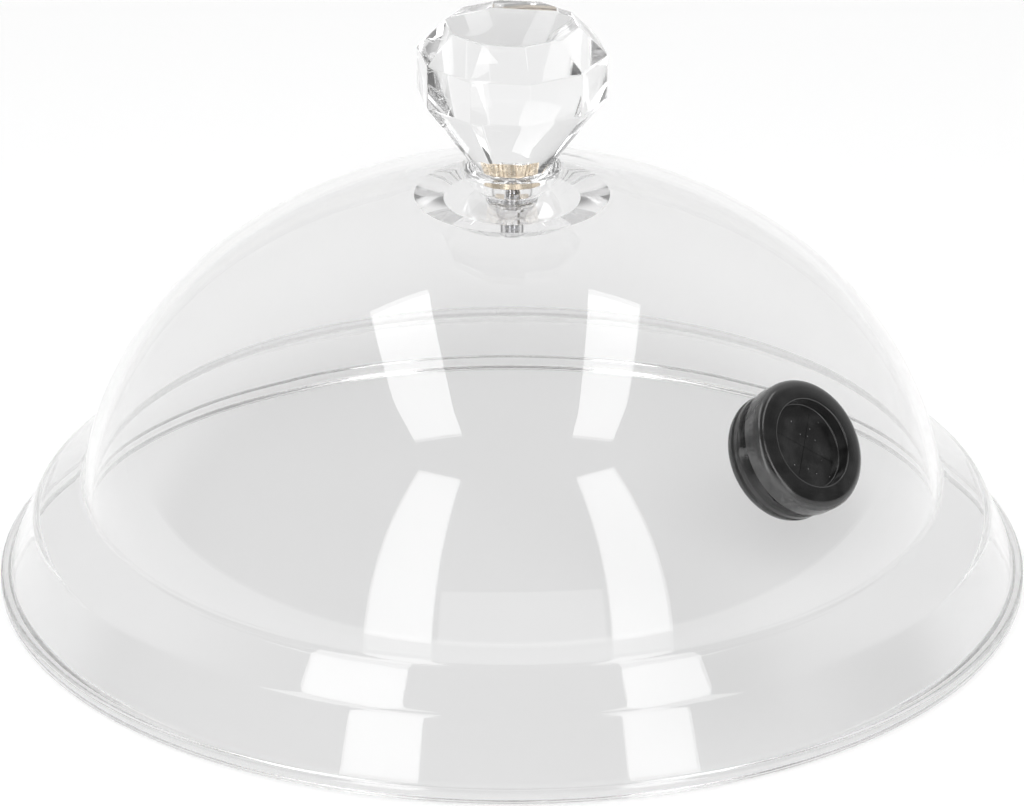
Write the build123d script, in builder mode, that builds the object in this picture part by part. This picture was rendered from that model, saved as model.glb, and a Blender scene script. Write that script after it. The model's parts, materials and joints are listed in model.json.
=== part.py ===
from build123d import *

import os
from math import atan2, cos, degrees, radians, sin, sqrt

# Dome: one clear shell, sizes of its outer surface in millimetres
rim_radius = 130.0
rim_height = 4.0
rim_lip = 2.0  # how far the rim stands out from the skirt
rim_rounding = 1.2
wall = 3.0
skirt_flare = 7.0  # how far the skirt leans in from the rim to the knuckle
knuckle_height = 19.0
knuckle_inner_rounding = 1.0
ledge_width = 12.0  # from the knuckle in to the foot of the bowl
foot_height = 26.4
foot_rounding = 1.2
foot_lean = 9.7  # degrees by which the bowl leans in at its foot
join_angle = 51.0  # degrees, where the side arc runs into the crown arc
crown_height = 106.4  # apex of the crown before the flat seat cuts it
seat_radius = 24.4  # where the flat seat under the knob cuts the crown
seat_rounding = 50.0  # soft bend from the crown to the seat
boss_radius = 17.0  # lower face of the thick boss under the seat
boss_foot_radius = 24.1  # where the boss runs out on the crown's inner face
boss_thickness = 6.8  # from the seat to the boss' lower face

# Rubber valve
valve_tilt = 35.8  # degrees of the valve's axis above the horizontal
valve_hole_radius = 12.5
valve_fit = 0.1  # between the rubber and the dome
flange_radius = 16.6
flange_height = 4.6  # at the cup's edge
flange_shoulder = 0.4  # how far the face falls from the cup's edge to the flange's edge
flange_rounding = 2.6
edge_chamfer = 0.4
cup_radius = 11.0
cup_depth = 3.6
membrane = 1.0
bore_radius = 10.0
inner_flange_radius = 15.8
inner_flange_thickness = 8.4
inner_flange_rounding = 3.0
bevel_width = 2.8  # slope at the front edge of the inner flange
bevel_height = 3.0
groove_height = 4.8  # groove round the inner flange, from the dome's inner face
groove_depth = 0.6
groove_width = 1.0

# Flaps of the valve, cut by two crossing slits
flap_count = 4
flap_reach = 6.5  # from a flap's hinge to the middle of the valve
slit_width = 0.4
flap_hinge_gap = 0.15
slit_relief = 1.4  # clears the flaps' corners from each other as they swing

# Screw, washers and gasket
thread_radius = 2.0
thread_engagement = 6.5
tip_chamfer = 0.4
hole_clearance = 0.25
washer_clearance = 0.15
head_radius = 4.0
head_height = 3.1
head_rounding = 1.4
recess_length = 4.4
recess_width = 1.0
recess_depth = 1.9
steel_washer_radius = 6.0
steel_washer_thickness = 1.0
inner_washer_radius = 6.4
inner_washer_thickness = 1.0
gasket_radius = 8.4
gasket_thickness = 0.8

# Brass insert, moulded into the knob
insert_radius = 4.5
insert_length = 8.0
insert_recess = 3.0  # how far up in the knob the insert begins
insert_fit = 0.05
thread_fit = 0.05
insert_flange_height = 2.8
insert_groove_depth = 0.8
insert_groove_height = 0.6
insert_headroom = 1.0  # empty space over the insert in the knob
knurl_count = 24
knurl_depth = 0.35

# Knob: ten-sided, sizes from its underside and to its corners
facet_count = 10
facet_turn = 16.5  # degrees from +X to the first corner
collar_foot_radius = 9.0
collar_radius = 12.4
collar_height = 6.0
collar_edge = 0.8  # upright edge at the top of the collar
collar_bulge = 0.6
neck_radius = 9.9
girdle_radius = 23.7
girdle_low = 24.9
girdle_high = 36.0
table_radius = 16.6
knob_height = 43.2

os.makedirs("parts", exist_ok=True)

# The bowl's two arcs: the side arc leaves the ledge and meets the crown arc in one tangent
knuckle_radius = rim_radius - rim_lip - skirt_flare
foot_radius = knuckle_radius - ledge_width
bowl_rise = crown_height - foot_height
lean_cos, lean_sin = cos(radians(foot_lean)), sin(radians(foot_lean))
join_cos, join_sin = cos(radians(join_angle)), sin(radians(join_angle))
arc_balance = join_cos * (join_sin - lean_sin) - (lean_cos - join_cos) * (1 - join_sin)
crown_arc_radius = (foot_radius * (join_sin - lean_sin) - (lean_cos - join_cos) * bowl_rise) / arc_balance
side_arc_radius = (join_cos * bowl_rise - (1 - join_sin) * foot_radius) / arc_balance
side_centre = (foot_radius - side_arc_radius * lean_cos, foot_height - side_arc_radius * lean_sin)
crown_centre = (0, crown_height - crown_arc_radius)
seat_height = crown_centre[1] + sqrt(crown_arc_radius**2 - seat_radius**2)

# The valve stands square to the side arc, at the front of the dome
tilt_cos, tilt_sin = cos(radians(valve_tilt)), sin(radians(valve_tilt))
valve_out = side_centre[0] + side_arc_radius * tilt_cos
valve_up = side_centre[1] + side_arc_radius * tilt_sin
valve_centre = (0, -valve_out, valve_up)
valve_direction = (0, -tilt_cos, tilt_sin)
valve_axis = Axis(valve_centre, valve_direction)
valve_plane = Plane(origin=valve_centre, x_dir=(1, 0, 0), z_dir=valve_direction)
valve_section = Plane(origin=valve_centre, x_dir=(1, 0, 0), z_dir=(0, -tilt_sin, -tilt_cos))
valve_back = -wall - inner_flange_thickness
cup_floor = flange_height - cup_depth
flap_face = cup_floor - membrane
valve_neck_radius = valve_hole_radius - valve_fit

# Heights of the stack on the screw
screw_hole_radius = thread_radius + hole_clearance
washer_hole_radius = thread_radius + washer_clearance
ceiling = seat_height - boss_thickness
steel_washer_top = ceiling - inner_washer_thickness
head_top = steel_washer_top - steel_washer_thickness
knob_base = seat_height + gasket_thickness
insert_base = knob_base + insert_recess
screw_tip = insert_base + thread_engagement

# The section's straight stretches, and their directions into the wall
knuckle_point = Vector(knuckle_radius, knuckle_height)
skirt_way = Vector(-skirt_flare, knuckle_height - rim_height).normalized()
ledge_way = Vector(-ledge_width, foot_height - knuckle_height).normalized()
skirt_inward = skirt_way.rotate(Axis.Z, 90)
ledge_inward = ledge_way.rotate(Axis.Z, 90)


def shell_corners(inset):
    """Corners of the dome's section where it lies the given distance inside the outer surface."""
    knuckle = knuckle_point + (skirt_inward + ledge_inward) * (inset / (1 + skirt_inward.dot(ledge_inward)))
    base = knuckle - skirt_way * ((knuckle.Y - rim_height / 2) / skirt_way.Y)
    reach = knuckle - Vector(*side_centre)
    along = reach.dot(ledge_way)
    foot = knuckle - ledge_way * (along + sqrt(along**2 - reach.dot(reach) + (side_arc_radius - inset) ** 2))
    seat_rise = seat_height - inset - crown_centre[1]
    seat = Vector(sqrt((crown_arc_radius - inset) ** 2 - seat_rise**2), seat_height - inset)
    return base, knuckle, foot, seat


def draw_shell(inset):
    """Closed outline of the space inside the dome's section at the given inset."""
    base, knuckle, foot, seat = shell_corners(inset)
    foot_angle = degrees(atan2(foot.Y - side_centre[1], foot.X - side_centre[0]))
    seat_end = degrees(atan2(seat.Y - crown_centre[1], seat.X))
    Polyline((0, base.Y), base, knuckle, foot)
    CenterArc(side_centre, side_arc_radius - inset, foot_angle, join_angle - foot_angle)
    CenterArc(crown_centre, crown_arc_radius - inset, join_angle, seat_end - join_angle)
    Polyline(seat, (0, seat.Y), (0, base.Y))


with BuildPart() as dome:
    with BuildSketch(Plane.XZ) as shell_section:
        with BuildLine():
            draw_shell(0)
        make_face()
        with BuildLine():
            draw_shell(wall)
        make_face(mode=Mode.SUBTRACT)
        for inset, knuckle_fillet, foot_fillet in (
            (0, knuckle_inner_rounding + wall, foot_rounding),
            (wall, knuckle_inner_rounding, foot_rounding + wall),
        ):
            corners = shell_corners(inset)[1:]
            for corner, rounding in zip(corners, (knuckle_fillet, foot_fillet, seat_rounding - inset)):
                fillet(shell_section.vertices().sort_by_distance(corner)[0], rounding)
        with BuildLine():
            bend_height = seat_height - seat_rounding
            bend_radius = sqrt((crown_arc_radius - seat_rounding) ** 2 - (bend_height - crown_centre[1]) ** 2)
            boss_reach = boss_foot_radius - bend_radius
            boss_foot = bend_height + sqrt((seat_rounding - wall) ** 2 - boss_reach**2)
            Polyline(
                (0, ceiling),
                (boss_radius, ceiling),
                (boss_foot_radius, boss_foot),
                (boss_foot_radius, boss_foot + wall / 2),
                (0, seat_height - wall / 2),
                close=True,
            )
        make_face()
    revolve(axis=Axis.Z)
    with BuildSketch(Plane.XZ) as rim_section:
        with Locations((rim_radius, 0)):
            Rectangle(rim_lip + wall, rim_height, align=(Align.MAX, Align.MIN))
        fillet(rim_section.vertices().group_by(Axis.X)[-1], rim_rounding)
    revolve(axis=Axis.Z)
    with Locations((0, 0, seat_height)):
        Hole(screw_hole_radius, depth=2 * boss_thickness)
    with Locations(valve_plane):
        Hole(valve_hole_radius, depth=4 * wall)
dome.part.label = "dome"
export_step(dome.part, "parts/dome.step")

with BuildPart() as valve_body:
    groove_middle = -wall - groove_height
    with BuildSketch(valve_section) as blank_section:
        with BuildLine():
            Polyline(
                (0, valve_back),
                (inner_flange_radius, valve_back),
                (inner_flange_radius, groove_middle - groove_width / 2),
                (inner_flange_radius - groove_depth, groove_middle),
                (inner_flange_radius, groove_middle + groove_width / 2),
                (inner_flange_radius, -wall - bevel_height),
                (inner_flange_radius - bevel_width, -wall),
                (inner_flange_radius - bevel_width, -wall / 2),
                (flange_radius, -wall / 2),
                (flange_radius, flange_height - flange_shoulder),
                (cup_radius, flange_height),
                (0, flange_height),
                close=True,
            )
        make_face()
        for corner, rounding in (
            ((inner_flange_radius, valve_back), inner_flange_rounding),
            ((flange_radius, flange_height - flange_shoulder), flange_rounding),
        ):
            fillet(blank_section.vertices().sort_by_distance(corner)[0], rounding)
    revolve(axis=valve_axis)
    # The flanges bear on both faces of the dome's wall
    with BuildSketch(Plane.XZ):
        with BuildLine():
            band_reach = degrees(1.5 * flange_radius / side_arc_radius)
            outer = CenterArc(side_centre, side_arc_radius + valve_fit, valve_tilt - band_reach, 2 * band_reach)
            inner_arc_radius = side_arc_radius - wall - valve_fit
            inner = CenterArc(side_centre, inner_arc_radius, valve_tilt - band_reach, 2 * band_reach)
            Line(outer @ 0, inner @ 0)
            Line(outer @ 1, inner @ 1)
        make_face()
    revolve(axis=Axis.Z, mode=Mode.SUBTRACT)
    with BuildSketch(valve_plane.offset(valve_back / 2 - wall / 2)):
        Circle(valve_neck_radius)
    extrude(amount=wall / 2 - valve_back / 2 + cup_floor)
    with BuildSketch(valve_section):
        with BuildLine():
            Polyline(
                (0, cup_floor),
                (cup_radius, cup_floor),
                (cup_radius, flange_height - edge_chamfer),
                (cup_radius + edge_chamfer, flange_height),
                (0, flange_height),
                close=True,
            )
        make_face()
        with BuildLine():
            Polyline(
                (0, flap_face),
                (bore_radius, flap_face),
                (bore_radius, valve_back + edge_chamfer),
                (bore_radius + edge_chamfer, valve_back),
                (0, valve_back),
                close=True,
            )
        make_face()
    revolve(axis=valve_axis, mode=Mode.SUBTRACT)
    with BuildSketch(valve_plane.offset(flap_face)):
        Rectangle(2 * flap_reach, 2 * flap_reach)
    extrude(amount=membrane, mode=Mode.SUBTRACT)
valve_body.part.label = "valve_body"
export_step(valve_body.part, "parts/valve_body.step")

# Each flap is a triangle with its base on one side of the window, and its base corners cut off
slit_offset = slit_width / sqrt(2)
flap_shoulder = flap_reach - slit_relief
flap_origin = valve_plane.offset(flap_face).origin
for index in range(flap_count):
    flap_way = Vector(1, 0, 0).rotate(valve_axis, index * 360 / flap_count)
    with BuildPart() as valve_flap:
        with BuildSketch(Plane(origin=flap_origin, x_dir=flap_way, z_dir=valve_direction)):
            with BuildLine():
                Polyline(
                    (slit_offset, 0),
                    (flap_shoulder, flap_shoulder - slit_offset),
                    (flap_reach - flap_hinge_gap, flap_shoulder - slit_offset),
                    (flap_reach - flap_hinge_gap, slit_offset - flap_shoulder),
                    (flap_shoulder, slit_offset - flap_shoulder),
                    close=True,
                )
            make_face()
        extrude(amount=membrane)
    valve_flap.part.label = f"valve_flap_{index + 1}"
    export_step(valve_flap.part, f"parts/{valve_flap.part.label}.step")

with BuildPart() as knob:
    with BuildSketch(Plane.XZ):
        with BuildLine():
            collar_top = knob_base + collar_height
            Polyline(
                (collar_radius, collar_top - collar_edge),
                (collar_radius, collar_top),
                (0, collar_top),
                (0, knob_base),
                (collar_foot_radius, knob_base),
            )
            SagittaArc((collar_foot_radius, knob_base), (collar_radius, collar_top - collar_edge), -collar_bulge)
        make_face()
    revolve(axis=Axis.Z)
    for height, radius in (
        (collar_height, neck_radius),
        (girdle_low, girdle_radius),
        (girdle_high, girdle_radius),
        (knob_height, table_radius),
    ):
        with BuildSketch(Plane.XY.offset(knob_base + height)):
            RegularPolygon(radius, facet_count, rotation=facet_turn)
    loft(ruled=True)
    with BuildSketch(Plane.XY.offset(knob_base)):
        Circle(insert_radius + insert_fit)
    extrude(amount=insert_recess + insert_length + insert_headroom, mode=Mode.SUBTRACT)
knob.part.label = "knob"
export_step(knob.part, "parts/knob.step")

with BuildPart() as knob_insert:
    with BuildSketch(Plane.XY.offset(insert_base)):
        Circle(insert_radius)
    extrude(amount=insert_flange_height)
    with BuildSketch(Plane.XY.offset(insert_base + insert_flange_height)):
        Circle(insert_radius - insert_groove_depth)
    extrude(amount=insert_groove_height)
    knurl_base = insert_flange_height + insert_groove_height
    with BuildSketch(Plane.XY.offset(insert_base + knurl_base)):
        Circle(insert_radius)
        with PolarLocations(insert_radius, knurl_count):
            Rectangle(knurl_depth * sqrt(2), knurl_depth * sqrt(2), rotation=45, mode=Mode.SUBTRACT)
    extrude(amount=insert_length - knurl_base)
    with Locations((0, 0, insert_base + insert_length)):
        Hole(thread_radius + thread_fit, depth=insert_length)
knob_insert.part.label = "knob_insert"
export_step(knob_insert.part, "parts/knob_insert.step")

with BuildPart() as knob_screw:
    with BuildSketch(Plane.XY.offset(head_top)):
        Circle(head_radius)
    extrude(amount=-head_height)
    fillet(knob_screw.edges().group_by(Axis.Z)[0], head_rounding)
    with BuildSketch(Plane.XY.offset(head_top)):
        Circle(thread_radius)
    extrude(amount=screw_tip - head_top)
    chamfer(knob_screw.edges().group_by(Axis.Z)[-1], tip_chamfer)
    with BuildSketch(Plane.XY.offset(head_top - head_height)):
        Rectangle(recess_length, recess_width)
        Rectangle(recess_width, recess_length)
    extrude(amount=recess_depth, mode=Mode.SUBTRACT)
knob_screw.part.label = "knob_screw"
export_step(knob_screw.part, "parts/knob_screw.step")

# Rings on the screw, each from its lower face
for label, base, thickness, radius in (
    ("knob_gasket", seat_height, gasket_thickness, gasket_radius),
    ("inner_washer", steel_washer_top, inner_washer_thickness, inner_washer_radius),
    ("steel_washer", head_top, steel_washer_thickness, steel_washer_radius),
):
    with BuildPart() as ring:
        with BuildSketch(Plane.XY.offset(base)):
            Circle(radius)
            Circle(washer_hole_radius, mode=Mode.SUBTRACT)
        extrude(amount=thickness)
    ring.part.label = label
    export_step(ring.part, f"parts/{label}.step")
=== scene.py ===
"""Looks of a clear smoking cloche.

A stepped dome, a faceted knob with its brass insert and screw, and a rubber valve in the dome's side.
"""

import json
import logging
from cmath import phase, rect
from collections.abc import Sequence
from dataclasses import dataclass
from enum import Enum
from math import acos, cos, pi, radians, sin, sqrt, tan, tau

import bmesh
import bpy
import numpy as np
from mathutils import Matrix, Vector


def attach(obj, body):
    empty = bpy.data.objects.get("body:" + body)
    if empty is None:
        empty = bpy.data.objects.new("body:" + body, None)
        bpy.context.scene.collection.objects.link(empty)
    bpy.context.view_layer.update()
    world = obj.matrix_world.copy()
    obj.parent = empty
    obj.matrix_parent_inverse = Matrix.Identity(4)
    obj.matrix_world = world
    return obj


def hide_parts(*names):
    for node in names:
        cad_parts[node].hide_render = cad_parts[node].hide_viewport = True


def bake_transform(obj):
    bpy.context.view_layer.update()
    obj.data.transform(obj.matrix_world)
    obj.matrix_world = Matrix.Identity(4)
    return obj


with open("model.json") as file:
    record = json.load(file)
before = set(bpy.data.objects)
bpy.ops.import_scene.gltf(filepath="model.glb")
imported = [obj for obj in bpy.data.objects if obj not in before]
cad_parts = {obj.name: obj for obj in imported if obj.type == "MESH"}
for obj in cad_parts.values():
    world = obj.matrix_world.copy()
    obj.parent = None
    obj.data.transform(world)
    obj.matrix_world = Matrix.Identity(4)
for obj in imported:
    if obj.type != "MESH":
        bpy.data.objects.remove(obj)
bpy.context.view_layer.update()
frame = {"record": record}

MM = 0.001  # sizes are in millimetres, meshes in metres
ACROSS = Vector((1.0, 0.0, 0.0))
PATH_RADIUS = 10.0  # of the circle that carries a section round the axis, in millimetres
MERGE_DISTANCE = 1e-6
WAVES = 20 / tau  # waves in a metre of the wave texture at a scale of 1
HALF_WAVE = 0.5
log = logging.getLogger("cloche")

Colour = tuple[float, float, float]
Section = list[complex]  # points of a section: distance from the axis + 1j * height


class Body(Enum):
    """CAD bodies that the pieces ride on."""

    DOME = "dome"
    GASKET = "gasket"
    KNOB = "knob"


class Slot(Enum):
    """Material slots of the record."""

    DOME = "clear_dome"
    KNOB = "clear_knob"
    BRASS = "brass"
    RUBBER = "black_rubber"
    STEEL = "bright_steel"
    SILICONE = "clear_silicone"


class Edges(Enum):
    """Angle, in degrees, from which an edge of a piece stays sharp."""

    MACHINED = 24.0
    MOULDED = 40.0


class Detail(Enum):
    """Octaves of a noise pattern."""

    PLAIN = 1.0
    FINE = 3.0
    FINEST = 4.0


class Levels(Enum):
    """Range of a noise pattern's levels over which a finish changes."""

    MOST = (0.3, 0.7)
    LOWER = (0.3, 0.6)
    UPPER = (0.35, 0.7)
    PATCHES = (0.45, 0.75)


@dataclass
class Wiring:
    """Adds nodes to one node tree and links them.

    An input is given by its name or number, as a plain value or as the socket that feeds it.
    """

    tree: bpy.types.NodeTree

    def add(self, kind: str, inputs: dict[str | int, object] | None = None,
            **settings: object) -> bpy.types.Node:
        """Adds a node.

        Args:
            kind: Blender's name of the node's type.
            inputs: values or feeding sockets by input.
            settings: properties of the node itself.

        Returns:
            The new node.
        """
        node = self.tree.nodes.new(kind)
        for name, value in settings.items():
            setattr(node, name, value)
        for key, value in (inputs or {}).items():
            if isinstance(value, bpy.types.NodeSocket):
                self.tree.links.new(value, node.inputs[key])
            else:
                node.inputs[key].default_value = value
        return node

    def math(self, operation: str, *values: object) -> bpy.types.NodeSocket:
        """Adds a Math node and gives its result."""
        node = self.add("ShaderNodeMath", dict(enumerate(values)), operation=operation)
        return node.outputs[0]

    def spread(self, value: bpy.types.NodeSocket, low: float, high: float, to_low: float, to_high: float,
               smooth: bool = False) -> bpy.types.NodeSocket:
        """Maps one range of a value onto another.

        Args:
            value: socket that is mapped.
            low: value that becomes to_low.
            high: value that becomes to_high.
            to_low: result at and below low.
            to_high: result at and above high.
            smooth: eases both ends.

        Returns:
            The mapped value.
        """
        inputs = {"Value": value, "From Min": low, "From Max": high, "To Min": to_low, "To Max": to_high}
        kind = "SMOOTHSTEP" if smooth else "LINEAR"
        return self.add("ShaderNodeMapRange", inputs, interpolation_type=kind).outputs["Result"]

    def vector(self, operation: str, *vectors: object) -> bpy.types.Node:
        """Adds a Vector Math node."""
        return self.add("ShaderNodeVectorMath", dict(enumerate(vectors)), operation=operation)

    def place(self) -> bpy.types.NodeSocket:
        """Adds a Texture Coordinate node and gives the position on the piece."""
        return self.add("ShaderNodeTexCoord").outputs["Object"]

    def noise(self, place: bpy.types.NodeSocket, size: float, detail: Detail) -> bpy.types.NodeSocket:
        """Adds a noise pattern with marks of a size, in metres, and gives its level."""
        inputs = {"Vector": place, "Scale": 1 / size, "Detail": detail.value}
        return self.add("ShaderNodeTexNoise", inputs).outputs["Fac"]

    def bump(self, height: bpy.types.NodeSocket, distance: float) -> bpy.types.NodeSocket:
        """Adds a bump of a height, in metres, and gives its normal."""
        inputs = {"Height": height, "Distance": distance, "Strength": 1.0}
        return self.add("ShaderNodeBump", inputs).outputs["Normal"]

    def blend(self, share: bpy.types.NodeSocket, first: object, second: object) -> bpy.types.NodeSocket:
        """Mixes two colours by a share and gives the colour."""
        node = self.add("ShaderNodeMix", {0: share, 6: first, 7: second}, data_type="RGBA")
        return node.outputs[2]


def grey(level: float) -> tuple[float, float, float, float]:
    """An even grey as a node's colour value."""
    return (level, level, level, 1.0)


def paint(colour: Colour) -> tuple[float, float, float, float]:
    """A colour as a node's colour value."""
    return (*colour, 1.0)


def start_material(name: str) -> tuple[bpy.types.Material, Wiring]:
    """Makes an empty material.

    Args:
        name: the material's name.

    Returns:
        The material and the wiring of its tree.
    """
    material = bpy.data.materials.new(name)
    material.use_nodes = True
    material.node_tree.nodes.clear()
    return material, Wiring(material.node_tree)


def let_light_through(wiring: Wiring, glass: bpy.types.Node, shade: float) -> bpy.types.NodeSocket:
    """Lets the light that falls on other things pass a clear shader unbent.

    Args:
        wiring: the material's wiring.
        glass: the clear shader.
        shade: share of that light that passes one face.

    Returns:
        The mixed shader.
    """
    passed = wiring.add("ShaderNodeBsdfTransparent", {"Color": grey(shade)}).outputs[0]
    rays = wiring.add("ShaderNodeLightPath")
    shader = glass.outputs[0]
    for kind in ("Is Shadow Ray", "Is Diffuse Ray"):
        shader = wiring.add("ShaderNodeMixShader", {0: rays.outputs[kind], 1: shader, 2: passed}).outputs[0]
    return shader


@dataclass(frozen=True)
class ClearPlastic:
    """Polished clear plastic with the faint ripple of a moulded wall, greyer the longer the way through it.

    Lamp light passes through it, a little dimmed.
    """

    name: str
    tint: Colour
    shade: float  # share of lamp light that passes one face
    soak: float  # light lost inside, per metre
    index: float = 1.49
    roughest: float = 0.012
    ripple_size: float = 55 * MM
    ripple_height: float = 0.09 * MM

    def make(self) -> bpy.types.Material:
        """Builds the material.

        Returns:
            The material.
        """
        material, wiring = start_material(self.name)
        ripple = wiring.noise(wiring.place(), self.ripple_size, Detail.PLAIN)
        plastic = wiring.add("ShaderNodeBsdfPrincipled", {
            "Base Color": paint(self.tint),
            "Roughness": wiring.spread(ripple, *Levels.PATCHES.value, 0.0, self.roughest),
            "IOR": self.index,
            "Transmission Weight": 1.0,
            "Normal": wiring.bump(ripple, self.ripple_height),
        })
        inside = wiring.add("ShaderNodeVolumeAbsorption", {"Color": grey(0.0), "Density": self.soak})
        surface = let_light_through(wiring, plastic, self.shade)
        wiring.add("ShaderNodeOutputMaterial", {"Surface": surface, "Volume": inside.outputs[0]})
        return material


@dataclass(frozen=True)
class BlackRubber:
    """Semi-gloss black rubber with a fine grain, dust lying in the cup of the valve, and a lighter band
    round the flange's outer edge that is partly scuffing and partly painted sheen.
    """

    name: str
    cup_middle: Vector
    cup_axis: Vector
    cup_radius: float
    dark: float = 0.006
    worn: float = 0.013
    dust: float = 0.3
    # lighter colour of the flange's outer edge: partly scuffing, partly a painted sheen in place of its
    # reflection
    scuff_and_sheen_colour: float = 0.05
    scuff_and_sheen_band: tuple[float, float] = (15.6 * MM, 16.4 * MM)  # from the axis, where the scuffing and painted sheen set in
    least_scuff_and_sheen: float = 0.6
    index: float = 1.6
    sheen: tuple[float, float] = (0.12, 0.24)
    grain_size: float = 0.5 * MM
    grain_height: float = 0.012 * MM
    cloud_size: float = 25 / 6 * MM
    speck_size: float = 0.9 * MM
    speck_edge: tuple[float, float] = (0.1, 0.22)
    speck_choice: tuple[float, float] = (0.88, 0.97)  # few of the pattern's cells hold a speck
    film: float = 0.03
    dust_reach: float = 0.9  # share of the cup's radius that is wholly dusty
    dust_depth: tuple[float, float] = (0.2 * MM, 0.5 * MM)

    def make(self) -> bpy.types.Material:
        """Builds the material.

        Returns:
            The material.
        """
        material, wiring = start_material(self.name)
        place = wiring.place()
        grain = wiring.noise(place, self.grain_size, Detail.FINE)
        cloud = wiring.noise(place, self.cloud_size, Detail.FINEST)
        wear = wiring.spread(cloud, *Levels.UPPER.value, 0.0, 1.0)
        colour = wiring.blend(wear, grey(self.dark), grey(self.worn))
        away = wiring.vector("SUBTRACT", place, self.cup_middle).outputs[0]
        along = wiring.vector("PROJECT", away, self.cup_axis).outputs[0]
        aside = wiring.vector("DISTANCE", away, along).outputs["Value"]
        depth = wiring.vector("LENGTH", along).outputs["Value"]
        colour = wiring.blend(self.dusty(wiring, place, cloud, aside, depth), colour, grey(self.dust))
        # lighter band round the flange's outer edge: partly scuffing, partly a painted sheen that stands in
        # for its reflection
        scuff_and_sheen = wiring.spread(aside, *self.scuff_and_sheen_band, 0.0, 1.0, smooth=True)
        scuff_and_sheen = wiring.math("MULTIPLY", scuff_and_sheen, wiring.spread(cloud, *Levels.LOWER.value, self.least_scuff_and_sheen, 1.0))
        rubber = wiring.add("ShaderNodeBsdfPrincipled", {
            "Base Color": wiring.blend(scuff_and_sheen, colour, grey(self.scuff_and_sheen_colour)),
            "Roughness": wiring.spread(cloud, *Levels.MOST.value, *self.sheen),
            "IOR": self.index,
            "Normal": wiring.bump(grain, self.grain_height),
        })
        wiring.add("ShaderNodeOutputMaterial", {"Surface": rubber.outputs[0]})
        return material

    def dusty(self, wiring: Wiring, place: bpy.types.NodeSocket, cloud: bpy.types.NodeSocket,
              aside: bpy.types.NodeSocket, depth: bpy.types.NodeSocket) -> bpy.types.NodeSocket:
        """Share of dust on the rubber: specks and a thin film, in the cup alone.

        Args:
            wiring: the material's wiring.
            place: position on the piece.
            cloud: level of the cloudy pattern.
            aside: distance from the cup's axis.
            depth: distance from the cup's floor.

        Returns:
            The share.
        """
        specks = wiring.add("ShaderNodeTexVoronoi", {"Vector": place, "Scale": 1 / self.speck_size})
        speck = wiring.spread(specks.outputs["Distance"], *self.speck_edge, 1.0, 0.0, smooth=True)
        cell = wiring.add("ShaderNodeSeparateColor", {0: specks.outputs["Color"]}).outputs[0]
        speck = wiring.math("MULTIPLY", speck, wiring.spread(cell, *self.speck_choice, 0.0, 1.0))
        film = wiring.spread(cloud, *Levels.PATCHES.value, 0.0, self.film)
        inside = wiring.spread(aside, self.dust_reach * self.cup_radius, self.cup_radius, 1.0, 0.0)
        in_cup = wiring.math("MULTIPLY", inside, wiring.spread(depth, *self.dust_depth, 1.0, 0.0))
        return wiring.math("MULTIPLY", wiring.math("MAXIMUM", speck, film), in_cup)


@dataclass(frozen=True)
class TurnedMetal:
    """Bright metal with fine turning lines round an upright axis and small shifts of tone."""

    name: str
    bright: Colour
    dull: Colour
    roughness: tuple[float, float]
    line_pitch: float = 0.16 * MM
    line_height: float = 0.004 * MM
    line_waver: float = 0.6
    tone_size: float = 1.6 * MM

    def make(self) -> bpy.types.Material:
        """Builds the material.

        Returns:
            The material.
        """
        material, wiring = start_material(self.name)
        place = wiring.place()
        tone = wiring.noise(place, self.tone_size, Detail.FINEST)
        share = wiring.spread(tone, *Levels.UPPER.value, 0.0, 1.0)
        lines = wiring.add("ShaderNodeTexWave", {
            "Vector": place, "Scale": 1 / (WAVES * self.line_pitch), "Distortion": self.line_waver,
            "Detail": Detail.PLAIN.value,
        }, wave_type="BANDS", bands_direction="Z")
        metal = wiring.add("ShaderNodeBsdfPrincipled", {
            "Base Color": wiring.blend(share, paint(self.bright), paint(self.dull)),
            "Metallic": 1.0,
            "Roughness": wiring.spread(tone, *Levels.MOST.value, *self.roughness),
            "Normal": wiring.bump(lines.outputs["Fac"], self.line_height),
        })
        wiring.add("ShaderNodeOutputMaterial", {"Surface": metal.outputs[0]})
        return material


@dataclass(frozen=True)
class Silicone:
    """Milky see-through silicone with a soft, slightly uneven surface."""

    name: str
    colour: Colour
    clear: float = 0.96
    shade: float = 0.8
    index: float = 1.41
    roughness: tuple[float, float] = (0.04, 0.12)
    cloud_size: float = 2.5 * MM
    cloud_height: float = 0.03 * MM

    def make(self) -> bpy.types.Material:
        """Builds the material.

        Returns:
            The material.
        """
        material, wiring = start_material(self.name)
        cloud = wiring.noise(wiring.place(), self.cloud_size, Detail.FINE)
        silicone = wiring.add("ShaderNodeBsdfPrincipled", {
            "Base Color": paint(self.colour),
            "Roughness": wiring.spread(cloud, *Levels.MOST.value, *self.roughness),
            "IOR": self.index,
            "Transmission Weight": self.clear,
            "Normal": wiring.bump(cloud, self.cloud_height),
        })
        wiring.add("ShaderNodeOutputMaterial", {"Surface": let_light_through(wiring, silicone, self.shade)})
        return material


def start_tree(name: str, inputs: dict[str, str]) -> tuple[Wiring, bpy.types.Node]:
    """Makes a Geometry Nodes tree with named inputs.

    Args:
        name: the tree's name.
        inputs: socket types by input name, after the geometry that every tree takes.

    Returns:
        The tree's wiring and its input node.
    """
    tree = bpy.data.node_groups.new(name, "GeometryNodeTree")
    tree.interface.new_socket(name="Geometry", in_out="OUTPUT", socket_type="NodeSocketGeometry")
    for label, kind in {"Geometry": "NodeSocketGeometry", **inputs}.items():
        tree.interface.new_socket(name=label, in_out="INPUT", socket_type=kind)
    wiring = Wiring(tree)
    return wiring, wiring.add("NodeGroupInput")


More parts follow.
